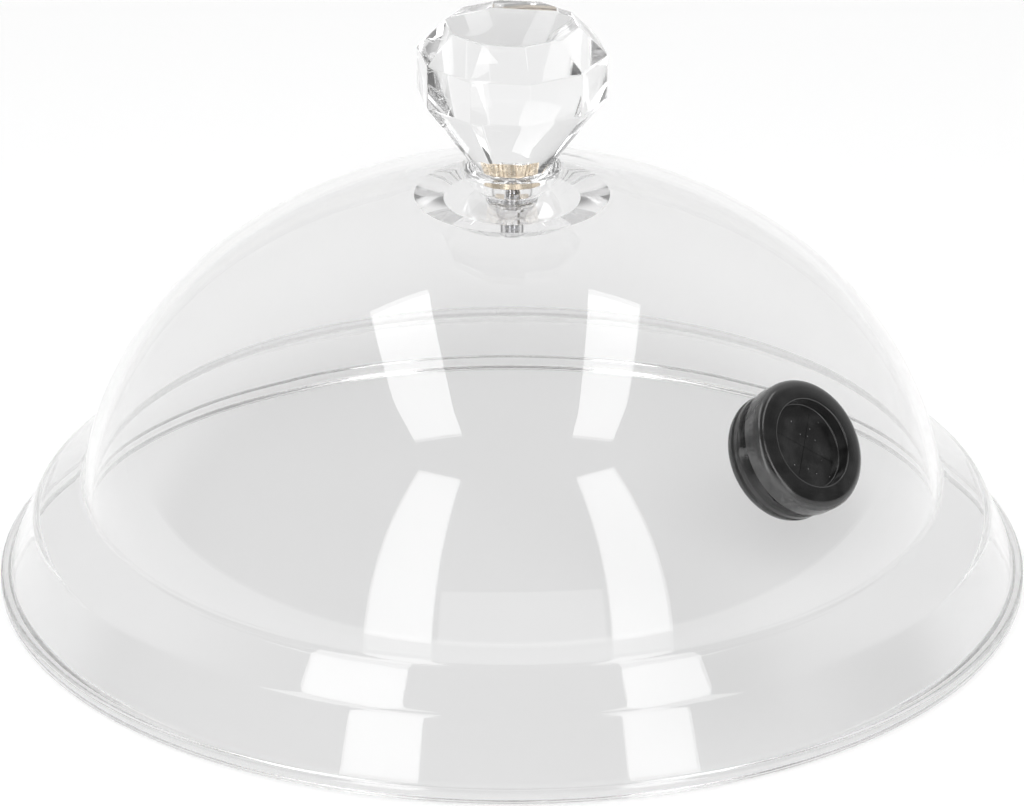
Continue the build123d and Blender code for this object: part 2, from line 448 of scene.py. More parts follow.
def end_tree(wiring: Wiring, geometry: bpy.types.NodeSocket,
             material: bpy.types.NodeSocket) -> bpy.types.NodeTree:
    """Closes a Geometry Nodes tree with real geometry and its material.

    Args:
        wiring: the tree's wiring.
        geometry: socket with the shape.
        material: socket with the material.

    Returns:
        The finished tree.
    """
    real = wiring.add("GeometryNodeRealizeInstances", {0: geometry})
    dressed = wiring.add("GeometryNodeSetMaterial", {"Geometry": real.outputs[0], "Material": material})
    wiring.add("NodeGroupOutput", {0: dressed.outputs[0]})
    return wiring.tree


def turning_tree() -> bpy.types.NodeTree:
    """Builds the tree that turns a section, a loop of edges in the XY plane, about the Z axis.

    Returns:
        The tree.
    """
    wiring, given = start_tree("turning", {
        "Segments": "NodeSocketInt", "Path Radius": "NodeSocketFloat", "Material": "NodeSocketMaterial"})
    section = wiring.add("GeometryNodeMeshToCurve", {0: given.outputs["Geometry"]})
    circle = wiring.add("GeometryNodeCurvePrimitiveCircle", {
        "Resolution": given.outputs["Segments"], "Radius": given.outputs["Path Radius"]})
    upright = wiring.add("GeometryNodeSetCurveNormal", {0: circle.outputs[0]}, mode="Z_UP")
    turned = wiring.add("GeometryNodeCurveToMesh", {
        "Curve": upright.outputs[0], "Profile Curve": section.outputs[0]})
    joined = wiring.add("GeometryNodeMergeByDistance", {0: turned.outputs[0], "Distance": MERGE_DISTANCE})
    smooth = wiring.add("GeometryNodeSetShadeSmooth", {0: joined.outputs[0]})
    return end_tree(wiring, smooth.outputs[0], given.outputs["Material"])


def ridge_tree() -> bpy.types.NodeTree:
    """Builds the tree that raises ridges on a round piece: upright for a knurl, a helix for a thread.

    Returns:
        The tree.
    """
    wiring, given = start_tree("ridges", {
        "Ridges": "NodeSocketFloat", "Per Metre": "NodeSocketFloat", "Depth": "NodeSocketFloat",
        "Low": "NodeSocketFloat", "High": "NodeSocketFloat", "Least Radius": "NodeSocketFloat",
        "Material": "NodeSocketMaterial"})
    place = wiring.add("GeometryNodeInputPosition").outputs[0]
    split = wiring.add("ShaderNodeSeparateXYZ", {0: place})
    x, y, z = split.outputs
    angle = wiring.math("DIVIDE", wiring.math("ARCTAN2", y, x), tau)
    phase_round = wiring.math("MULTIPLY", angle, given.outputs["Ridges"])
    phase_along = wiring.math("MULTIPLY", z, given.outputs["Per Metre"])
    wave = wiring.math("PINGPONG", wiring.math("ADD", phase_round, phase_along), HALF_WAVE)
    flat = wiring.add("ShaderNodeCombineXYZ", {0: x, 1: y})
    radius = wiring.vector("LENGTH", flat.outputs[0]).outputs["Value"]
    outward = wiring.vector("NORMALIZE", flat.outputs[0]).outputs[0]
    rise = wiring.math("MULTIPLY", wiring.math("DIVIDE", wave, HALF_WAVE), given.outputs["Depth"])
    offset = wiring.add("ShaderNodeVectorMath", {0: outward, "Scale": rise}, operation="SCALE").outputs[0]
    above = wiring.math("GREATER_THAN", z, given.outputs["Low"])
    below = wiring.math("LESS_THAN", z, given.outputs["High"])
    outside = wiring.math("GREATER_THAN", radius, given.outputs["Least Radius"])
    chosen = wiring.math("MULTIPLY", wiring.math("MULTIPLY", above, below), outside)
    moved = wiring.add("GeometryNodeSetPosition", {
        "Geometry": given.outputs["Geometry"], "Selection": chosen, "Offset": offset})
    return end_tree(wiring, moved.outputs[0], given.outputs["Material"])


def grow(piece: bpy.types.Object, tree: bpy.types.NodeTree, values: dict[str, object]) -> None:
    """Runs a Geometry Nodes tree on a piece and keeps the result as its plain mesh.

    Args:
        piece: object whose mesh goes into the tree.
        tree: the tree.
        values: values of the tree's inputs by name.
    """
    modifier = piece.modifiers.new(tree.name, "NODES")
    modifier.node_group = tree
    for item in tree.interface.items_tree:
        if item.item_type == "SOCKET" and item.in_out == "INPUT" and item.name in values:
            modifier[item.identifier] = values[item.name]
    bake(piece)


def bake(piece: bpy.types.Object) -> None:
    """Replaces a piece's mesh by what its modifiers make of it, and removes them.

    Args:
        piece: the object.
    """
    bpy.context.view_layer.update()
    graph = bpy.context.evaluated_depsgraph_get()
    mesh = bpy.data.meshes.new_from_object(piece.evaluated_get(graph))
    piece.modifiers.clear()
    piece.data = mesh


def mesh_piece(name: str, points: np.ndarray, faces: Sequence[Sequence[int]] = (),
               edges: Sequence[tuple[int, int]] = ()) -> bpy.types.Object:
    """Makes an object of points, faces and edges.

    Args:
        name: the object's name.
        points: positions in metres, one row each.
        faces: corner numbers of each face.
        edges: corner numbers of loose edges.

    Returns:
        The object, in the scene.
    """
    mesh = bpy.data.meshes.new(name)
    mesh.from_pydata(points.tolist(), edges, faces)
    mesh.update()
    piece = bpy.data.objects.new(name, mesh)
    bpy.context.scene.collection.objects.link(piece)
    return piece


def plug(name: str, points: np.ndarray) -> bpy.types.Object:
    """Makes a closed plug between two rings.

    Args:
        name: the plug's name.
        points: positions in millimetres, one row each: one ring, then as many points of the other.

    Returns:
        The plug.
    """
    count = len(points) // 2
    sides = [(i, (i + 1) % count, count + (i + 1) % count, count + i) for i in range(count)]
    return mesh_piece(name, points * MM, [*sides, range(count - 1, -1, -1), range(count, 2 * count)])


def keep_edges(piece: bpy.types.Object, edges: Edges) -> None:
    """Shades a piece smooth, with the edges that stay sharp.

    Args:
        piece: the object.
        edges: which of its edges stay sharp.
    """
    mesh = piece.data
    mesh.polygons.foreach_set("use_smooth", [True] * len(mesh.polygons))
    mesh.set_sharp_from_angle(angle=radians(edges.value))


def carve(piece: bpy.types.Object, cutter: bpy.types.Object) -> None:
    """Cuts one closed mesh out of another, and removes the cutter.

    Args:
        piece: object that is cut.
        cutter: object that is cut out of it.
    """
    modifier = piece.modifiers.new("carve", "BOOLEAN")
    modifier.operation = "DIFFERENCE"
    modifier.solver = "EXACT"
    modifier.object = cutter
    bake(piece)
    bpy.data.objects.remove(cutter)


def set_in_place(piece: bpy.types.Object, body: Body, node: str) -> None:
    """Lets a piece ride on its body and stand for its CAD node.

    Args:
        piece: the finished object.
        body: body that carries it.
        node: CAD node that it stands for.
    """
    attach(piece, body.value)
    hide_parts(node)
    log.info("%s rides on %s", piece.name, body.value)


def arc(centre: complex, radius: float, start: float, end: float, steps: int) -> Section:
    """Points of a circular arc.

    Args:
        centre: centre of the arc.
        radius: its radius.
        start: angle of its first point, in radians.
        end: angle of its last point.
        steps: number of chords.

    Returns:
        The points, both ends included.
    """
    return [centre + rect(radius, start + (end - start) * i / steps) for i in range(steps + 1)]


def run(start: complex, end: complex, steps: int) -> Section:
    """Points of a straight run, both ends included."""
    return [start + (end - start) * i / steps for i in range(steps + 1)]


def rounded(corners: Sequence[tuple[complex, float]], steps: int = 6) -> Section:
    """Closed outline with rounded corners.

    Args:
        corners: each corner with its rounding, which is 0 for a sharp one.
        steps: chords of a rounding.

    Returns:
        The outline's points.
    """
    points: Section = []
    for i, (corner, radius) in enumerate(corners):
        if not radius:
            points.append(corner)
            continue
        back = corners[i - 1][0] - corner
        ahead = corners[(i + 1) % len(corners)][0] - corner
        back, ahead = back / abs(back), ahead / abs(ahead)
        half = abs(phase(ahead / back)) / 2
        centre = corner + (back + ahead) / abs(back + ahead) * radius / sin(half)
        first = corner + back * radius / tan(half) - centre
        last = corner + ahead * radius / tan(half) - centre
        points += arc(centre, radius, phase(first), phase(first) + phase(last / first), steps)
    return points


def turn(name: str, outline: Section, segments: int, material: bpy.types.Material) -> bpy.types.Object:
    """Turns a closed outline about the Z axis.

    Args:
        name: the piece's name.
        outline: points of the section, in millimetres, anticlockwise with the axis on the left.
        segments: number of faces round the axis.
        material: the piece's finish.

    Returns:
        The round piece.
    """
    points = np.array([(p.real - PATH_RADIUS, -p.imag, 0.0) for p in reversed(outline)]) * MM
    count = len(points)
    piece = mesh_piece(name, points, edges=[(i, (i + 1) % count) for i in range(count)])
    grow(piece, TURNING, {"Segments": segments, "Path Radius": PATH_RADIUS * MM, "Material": material})
    return piece


TURNING = turning_tree()
RIDGES = ridge_tree()


@dataclass
class DomeShell:
    """Clear shell: rim, flared skirt, ledge, round bowl and a flat seat for the knob.

    Sizes are in millimetres and angles in degrees, here and in the other pieces. Steps are the chords of
    a line.
    """

    finish: ClearPlastic
    rim_radius: float = 130.0
    rim_height: float = 4.0
    rim_lip: float = 2.0
    rim_rounding: float = 1.2
    rim_crease: float = 0.35
    wall: float = 3.0
    skirt_flare: float = 7.0
    knuckle_height: float = 19.0
    knuckle_rounding: float = 4.0
    ledge_width: float = 12.0
    foot_height: float = 26.4
    foot_rounding: float = 1.2
    foot_lean: float = 9.7
    join_angle: float = 51.0
    crown_height: float = 106.4
    seat_radius: float = 24.4
    seat_rounding: float = 50.0
    boss_radius: float = 17.0
    boss_foot_radius: float = 24.1
    boss_thickness: float = 6.8
    screw_hole: float = 2.25
    valve_tilt: float = 35.8
    valve_hole: float = 12.5
    plug_reach: float = 12.0
    plug_sides: int = 96
    segments: int = 288
    skirt_steps: int = 10
    knuckle_steps: int = 10
    ledge_steps: int = 8
    foot_steps: int = 12
    side_steps: int = 44
    crown_steps: int = 40
    bend_steps: int = 12
    seat_steps: int = 6
    boss_steps: int = 4

    def __post_init__(self) -> None:
        """Works out the section's lines and arcs."""
        knuckle_radius = self.rim_radius - self.rim_lip - self.skirt_flare
        foot_radius = knuckle_radius - self.ledge_width
        self.knuckle = complex(knuckle_radius, self.knuckle_height)
        skirt = complex(-self.skirt_flare, self.knuckle_height - self.rim_height)
        ledge = complex(-self.ledge_width, self.foot_height - self.knuckle_height)
        self.skirt_way, self.ledge_way = skirt / abs(skirt), ledge / abs(ledge)
        rise = self.crown_height - self.foot_height
        lean, join = rect(1, radians(self.foot_lean)), rect(1, radians(self.join_angle))
        balance = join.real * (join.imag - lean.imag) - (lean.real - join.real) * (1 - join.imag)
        self.crown_arc = (foot_radius * (join.imag - lean.imag) - (lean.real - join.real) * rise) / balance
        self.side_arc = (join.real * rise - (1 - join.imag) * foot_radius) / balance
        self.side_centre = complex(foot_radius, self.foot_height) - self.side_arc * lean
        self.crown_centre = complex(0, self.crown_height - self.crown_arc)
        self.seat_height = self.crown_centre.imag + sqrt(self.crown_arc**2 - self.seat_radius**2)
        self.ceiling = self.seat_height - self.boss_thickness
        tilt = radians(self.valve_tilt)
        spot = self.side_centre + rect(self.side_arc, tilt)
        self.valve_middle = Vector((0.0, -spot.real, spot.imag))
        self.valve_axis = Vector((0.0, -cos(tilt), sin(tilt)))
        self.rim_inside = self.rim_radius - self.rim_lip - self.wall

    def wall_line(self, inset: float) -> Section:
        """One face of the wall in section, from the rim up to the seat.

        Args:
            inset: depth of the face under the outer face.

        Returns:
            The face's points.
        """
        inward, ledge_inward = self.skirt_way * 1j, self.ledge_way * 1j
        spread = 1 + inward.real * ledge_inward.real + inward.imag * ledge_inward.imag
        hub = self.knuckle + (inward + ledge_inward) * (self.knuckle_rounding / spread)
        first, last = phase(-inward), phase(-ledge_inward)
        knuckle = arc(hub, self.knuckle_rounding - inset, first, last, self.knuckle_steps)
        hollow = self.foot_hollow()
        to_side = self.side_centre - hollow
        first = phase(ledge_inward)
        last = first + phase(to_side / ledge_inward)
        foot = arc(hollow, self.foot_rounding + inset, first, last, self.foot_steps)
        join = radians(self.join_angle)
        side = arc(self.side_centre, self.side_arc - inset, phase(-to_side), join, self.side_steps)
        hub, soft = self.seat_bend(), self.seat_rounding - inset
        turn_off = phase(hub - self.crown_centre)
        end = acos((self.boss_foot_radius - hub.real) / soft) if inset else pi / 2
        crown = arc(self.crown_centre, self.crown_arc - inset, join, turn_off, self.crown_steps)
        bend = arc(hub, soft, turn_off, end, self.bend_steps)
        skirt = run(self.skirt_start(knuckle[0], inset), knuckle[0], self.skirt_steps)
        ledge = run(knuckle[-1], foot[0], self.ledge_steps)
        return skirt[:-1] + knuckle[:-1] + ledge[:-1] + foot + side[1:-1] + crown + bend[1:]

    def seat_bend(self) -> complex:
        """Centre of the soft bend between the crown and the flat seat.

        Returns:
            The centre.
        """
        level = self.seat_height - self.seat_rounding
        reach, rise = self.crown_arc - self.seat_rounding, level - self.crown_centre.imag
        return complex(sqrt(reach**2 - rise**2), level)

    def foot_hollow(self) -> complex:
        """Centre of the hollow between the ledge and the bowl.

        Returns:
            The centre.
        """
        outside = self.knuckle - self.ledge_way * 1j * self.foot_rounding
        reach = outside - self.side_centre
        along = reach.real * self.ledge_way.real + reach.imag * self.ledge_way.imag
        miss = abs(reach) ** 2 - (self.side_arc + self.foot_rounding) ** 2
        return outside + self.ledge_way * (-along - sqrt(along**2 - miss))

    def skirt_start(self, top: complex, inset: float) -> complex:
        """Lowest point of one face of the skirt.

        Args:
            top: highest point of that face.
            inset: depth of the face under the outer face.

        Returns:
            The point: on the rim's upper face outside, and on the rim's inner face inside.
        """
        if inset:
            return top + self.skirt_way * ((self.rim_inside - top.real) / self.skirt_way.real)
        return top + self.skirt_way * ((self.rim_height - top.imag) / self.skirt_way.imag)

    def outline(self) -> Section:
        """Closed outline of the shell's section.

        Returns:
            The outline's points.
        """
        outer, inner = self.wall_line(0.0), self.wall_line(self.wall)
        rim = rounded([
            (complex(self.rim_inside, self.rim_height / 2), 0.0),
            (complex(self.rim_inside, 0), self.rim_crease),
            (complex(self.rim_radius, 0), self.rim_rounding),
            (complex(self.rim_radius, self.rim_height), self.rim_rounding),
            (outer[0], 0.0),
        ])[1:-1]
        seat = run(outer[-1], complex(self.screw_hole, self.seat_height), self.seat_steps)
        face = complex(self.boss_radius, self.ceiling)
        under = run(complex(self.screw_hole, self.ceiling), face, self.seat_steps)
        slope = run(face, inner[-1], self.boss_steps)
        return outer + seat[1:] + under[:-1] + slope[:-1] + inner[::-1] + rim

    def build(self) -> None:
        """Builds the shell with its screw hole and valve hole."""
        shell = turn("clear_dome", self.outline(), self.segments, self.finish.make())
        carve(shell, self.hole_plug())
        keep_edges(shell, Edges.MACHINED)
        set_in_place(shell, Body.DOME, "dome")

    def hole_plug(self) -> bpy.types.Object:
        """Round plug that cuts the valve hole.

        Returns:
            The plug.
        """
        upward = self.valve_axis.cross(ACROSS)
        angles = [tau * i / self.plug_sides for i in range(self.plug_sides)]
        ring = [(ACROSS * cos(a) + upward * sin(a)) * self.valve_hole for a in angles]
        ends = [self.valve_middle + self.valve_axis * depth for depth in (-self.plug_reach, self.plug_reach)]
        return plug("hole_plug", np.array([end + point for end in ends for point in ring]))


@dataclass
class FacetedKnob:
    """Ten-sided clear knob, cut like a gem, on a round bowl-shaped collar."""

    finish: ClearPlastic
    base: float
    facets: int = 10
    facet_turn: float = 16.5
    collar_foot: float = 9.0
    collar_radius: float = 12.4
    collar_height: float = 6.0
    collar_edge: float = 0.8
    collar_bulge: float = 0.6
    neck_radius: float = 9.9
    girdle_radius: float = 23.7
    girdle_low: float = 24.9
    girdle_high: float = 36.0
    table_radius: float = 16.6
    height: float = 43.2
    socket_radius: float = 4.4
    socket_depth: float = 3.3
    bore_radius: float = 2.3
    bore_depth: float = 11.6
    edge_width: float = 0.4
    edge_steps: int = 2
    edge_angle: float = 20.0  # edges that turn by less stay as they are
    brim_margin: float = 0.05
    collar_steps: int = 10
    steps_per_facet: int = 10

    def ring(self, radius: float, height: float, count: int) -> list[Vector]:
        """Level ring of points, in millimetres, that starts at the first corner.

        Args:
            radius: distance of the points from the axis.
            height: height over the knob's underside.
            count: number of points.

        Returns:
            The points.
        """
        start = radians(self.facet_turn)
        angles = [start + tau * i / count for i in range(count)]
        return [Vector((radius * cos(a), radius * sin(a), self.base + height)) for a in angles]

    def collar_side(self) -> Section:
        """Section of the collar's bulging side, from its foot to its upper edge.

        Returns:
            The section's points.
        """
        foot = complex(self.collar_foot, 0)
        edge = complex(self.collar_radius, self.collar_height - self.collar_edge)
        half = abs(edge - foot) / 2
        radius = (half**2 + self.collar_bulge**2) / (2 * self.collar_bulge)
        outward = (edge - foot) / (2 * half) * -1j
        centre = (foot + edge) / 2 - outward * (radius - self.collar_bulge)
        first = phase(foot - centre)
        last = first + phase((edge - centre) / (foot - centre))
        return arc(centre, radius, first, last, self.collar_steps)

    def add_band(self, shape: bmesh.types.BMesh, section: Section,
                 count: int) -> list[list[bmesh.types.BMVert]]:
        """Adds rings of points to a mesh, with faces between each and the next.

        Args:
            shape: the mesh.
            section: radius + 1j * height of each ring, in millimetres over the knob's underside.
            count: number of points of a ring.

        Returns:
            The corners of each ring.
        """
        rings = [[shape.verts.new(point * MM) for point in self.ring(place.real, place.imag, count)]
                 for place in section]
        for low, high in zip(rings, rings[1:]):
            for i in range(count):
                j = (i + 1) % count
                shape.faces.new((low[i], low[j], high[j], high[i]))
        return rings

    def build(self) -> None:
        """Builds the knob as one closed mesh with fine bevels along its cut edges."""
        shape = bmesh.new()
        round_count = self.facets * self.steps_per_facet
        gem = self.add_band(shape, [
            complex(self.neck_radius, self.collar_height), complex(self.girdle_radius, self.girdle_low),
            complex(self.girdle_radius, self.girdle_high), complex(self.table_radius, self.height),
        ], self.facets)
        shape.faces.new(gem[-1])
        collar = self.add_band(shape, [
            complex(self.bore_radius, self.bore_depth), complex(self.bore_radius, self.socket_depth),
            complex(self.socket_radius, self.socket_depth), complex(self.socket_radius, 0.0),
            *self.collar_side(), complex(self.collar_radius, self.collar_height),
        ], round_count)
        shape.faces.new(collar[0][::-1])
        for i in range(self.facets):
            first, last = i * self.steps_per_facet, (i + 1) * self.steps_per_facet
            brim = [collar[-1][k % round_count] for k in range(first, last + 1)]
            shape.faces.new([*brim, gem[0][(i + 1) % self.facets], gem[0][i]])
        bmesh.ops.recalc_face_normals(shape, faces=shape.faces)
        mesh = bpy.data.meshes.new("faceted_knob")
        shape.to_mesh(mesh)
        shape.free()
        knob = bpy.data.objects.new("faceted_knob", mesh)
        bpy.context.scene.collection.objects.link(knob)
        bevel = knob.modifiers.new("cut_edges", "BEVEL")
        bevel.width = self.edge_width * MM
        bevel.segments = self.edge_steps
        bevel.limit_method = "ANGLE"
        bevel.angle_limit = radians(self.edge_angle)
        bake(knob)
        self.shade(knob)
        knob.data.materials.append(self.finish.make())
        set_in_place(knob, Body.KNOB, "knob")

    def shade(self, knob: bpy.types.Object) -> None:
        """Keeps the cut facets flat and the collar smooth.

        Args:
            knob: the knob.
        """
        brim = (self.base + self.collar_height - self.brim_margin) * MM
        mesh = knob.data
        mesh.polygons.foreach_set("use_smooth", [face.center.z < brim for face in mesh.polygons])
        mesh.set_sharp_from_angle(angle=radians(Edges.MACHINED.value))


@dataclass
class BrassInsert:
    """Knurled brass insert in the foot of the knob: a smooth flange, a groove, and a knurled barrel."""

    finish: TurnedMetal
    base: float
    radius: float = 4.5
    length: float = 8.0
    flange: float = 2.8
    groove: float = 0.6
    groove_depth: float = 0.8
    bore: float = 2.05
    knurls: int = 24
    knurl_depth: float = 0.35
    knurl_margin: float = 0.1
    steps_per_knurl: int = 8
    edge: float = 0.15
    edge_steps: int = 3

    def build(self) -> None:
        """Builds the insert."""
        top, flange = self.base + self.length, self.base + self.flange
        barrel = flange + self.groove
        root = self.radius - self.knurl_depth
        neck = self.radius - self.groove_depth
        outline = rounded([
            (complex(self.bore, self.base), 0.0),
            (complex(self.radius, self.base), self.edge),
            (complex(self.radius, flange), self.edge),
            (complex(neck, flange), 0.0),
            (complex(neck, barrel), 0.0),
            (complex(root, barrel), 0.0),
            (complex(root, top), self.edge),
            (complex(self.bore, top), 0.0),
        ], self.edge_steps)
        material = self.finish.make()
        insert = turn("knurled_insert", outline, self.knurls * self.steps_per_knurl, material)
        grow(insert, RIDGES, {
            "Ridges": float(self.knurls), "Per Metre": 0.0, "Depth": self.knurl_depth * MM,
            "Low": (barrel - self.knurl_margin) * MM, "High": (top + self.knurl_margin) * MM,
            "Least Radius": (root - 2 * self.knurl_margin) * MM, "Material": material})
        keep_edges(insert, Edges.MACHINED)
        set_in_place(insert, Body.KNOB, "knob_insert")


@dataclass
class FlatRing:
    """Flat ring round the screw, with its outer edges rounded."""

    name: str
    bottom: float
    thickness: float
    radius: float
    edge: float
    hole: float = 2.15
    gap: float = 0.02  # left above and below the ring
    segments: int = 96

    def build(self, material: bpy.types.Material, body: Body, slot: Slot, node: str) -> None:
        """Builds the ring.

        Args:
            material: its finish.
            body: body that carries it.
            slot: material slot of its finish; not used.
            node: CAD node that it stands for.
        """
        low = self.bottom + self.gap
        high = self.bottom + self.thickness - self.gap
        ring = turn(self.name, rounded([
            (complex(self.hole, low), 0.0),
            (complex(self.radius, low), self.edge),
            (complex(self.radius, high), self.edge),
            (complex(self.hole, high), 0.0),
        ]), self.segments, material)
        keep_edges(ring, Edges.MOULDED)
        set_in_place(ring, body, node)


@dataclass
class ScrewStack:
    """Pan-head screw from inside the dome, with its two washers and the gasket under the knob."""

    steel: TurnedMetal
    silicone: Silicone
    seat: float
    ceiling: float
    pitch: float
    insert_recess: float = 3.0
    thread_radius: float = 1.98
    thread_depth: float = 0.36
    thread_start: float = 0.3  # from the head
    thread_overrun: float = 0.01
    thread_margin: float = 0.1
    steps_per_turn: int = 10
    engagement: float = 6.5
    tip_chamfer: float = 0.4
    head_radius: float = 4.0
    head_height: float = 3.1
    head_rounding: float = 1.4
    head_edge: float = 0.1
    recess_length: float = 4.4
    recess_width: float = 1.0
    recess_depth: float = 1.9
    recess_taper: float = 0.6  # share of its width that the recess has at its floor
    recess_flare: float = 1.2
    recess_overrun: float = 0.6
    steel_radius: float = 6.0
    steel_thickness: float = 1.0
    steel_edge: float = 0.15
    soft_radius: float = 6.4
    soft_thickness: float = 1.0
    soft_edge: float = 0.3
    gasket_radius: float = 8.4
    gasket_thickness: float = 0.8
    gasket_edge: float = 0.2
    screw_segments: int = 64

    def __post_init__(self) -> None:
        """Works out the heights of the stack."""
        self.steel_top = self.ceiling - self.soft_thickness
        self.head_top = self.steel_top - self.steel_thickness
        self.head_bottom = self.head_top - self.head_height
        self.knob_base = self.seat + self.gasket_thickness
        self.tip = self.knob_base + self.insert_recess + self.engagement

    def build(self) -> None:
        """Builds the screw and its rings."""
        steel, silicone = self.steel.make(), self.silicone.make()
        self.build_screw(steel)
        flat = FlatRing(
            "flat_washer", self.head_top, self.steel_thickness, self.steel_radius, self.steel_edge)
        flat.build(steel, Body.DOME, Slot.STEEL, "steel_washer")
        soft = FlatRing(
            "soft_washer", self.steel_top, self.soft_thickness, self.soft_radius, self.soft_edge)
        soft.build(silicone, Body.DOME, Slot.SILICONE, "inner_washer")
        seal = FlatRing(
            "seal_ring", self.seat, self.gasket_thickness, self.gasket_radius, self.gasket_edge)
        seal.build(silicone, Body.GASKET, Slot.SILICONE, "knob_gasket")

    def build_screw(self, material: bpy.types.Material) -> None:
        """Builds the screw: rounded head with a cross recess, and a shank with a helical thread.

        Args:
            material: its finish.
        """
        root = self.thread_radius - self.thread_depth
        end = self.tip - self.tip_chamfer
        head = rounded([
            (complex(0, self.head_bottom), 0.0),
            (complex(self.head_radius, self.head_bottom), self.head_rounding),
            (complex(self.head_radius, self.head_top), self.head_edge),
            (complex(root, self.head_top), 0.0),
        ])
        steps = round((end - self.head_top) / self.pitch * self.steps_per_turn)
        shank = run(complex(root, self.head_top), complex(root, end), steps)[1:]
        tip = [complex(root - self.tip_chamfer, self.tip), complex(0, self.tip)]
        screw = turn("pan_screw", head + shank + tip, self.screw_segments, material)
        carve(screw, self.cross_plug())
        grow(screw, RIDGES, {
            "Ridges": -1.0, "Per Metre": 1 / (self.pitch * MM), "Depth": self.thread_depth * MM,
            "Low": (self.head_top + self.thread_start) * MM, "High": (end + self.thread_overrun) * MM,
            "Least Radius": (root - self.thread_margin) * MM, "Material": material})
        keep_edges(screw, Edges.MACHINED)
        set_in_place(screw, Body.DOME, "knob_screw")

    def cross_plug(self) -> bpy.types.Object:
        """Tapered cross that cuts the recess for a screwdriver.

        Returns:
            The plug.
        """
        long, short = self.recess_length / 2, self.recess_width / 2
        arm = [complex(long, -short), complex(long, short), complex(short, short)]
        cross = [point * 1j**k for k in range(4) for point in arm]
        levels = ((self.recess_flare, -self.recess_overrun), (self.recess_taper, self.recess_depth))
        return plug("cross_plug", np.array([(p.real * scale, p.imag * scale, self.head_bottom + depth)
                                            for scale, depth in levels for p in cross]))


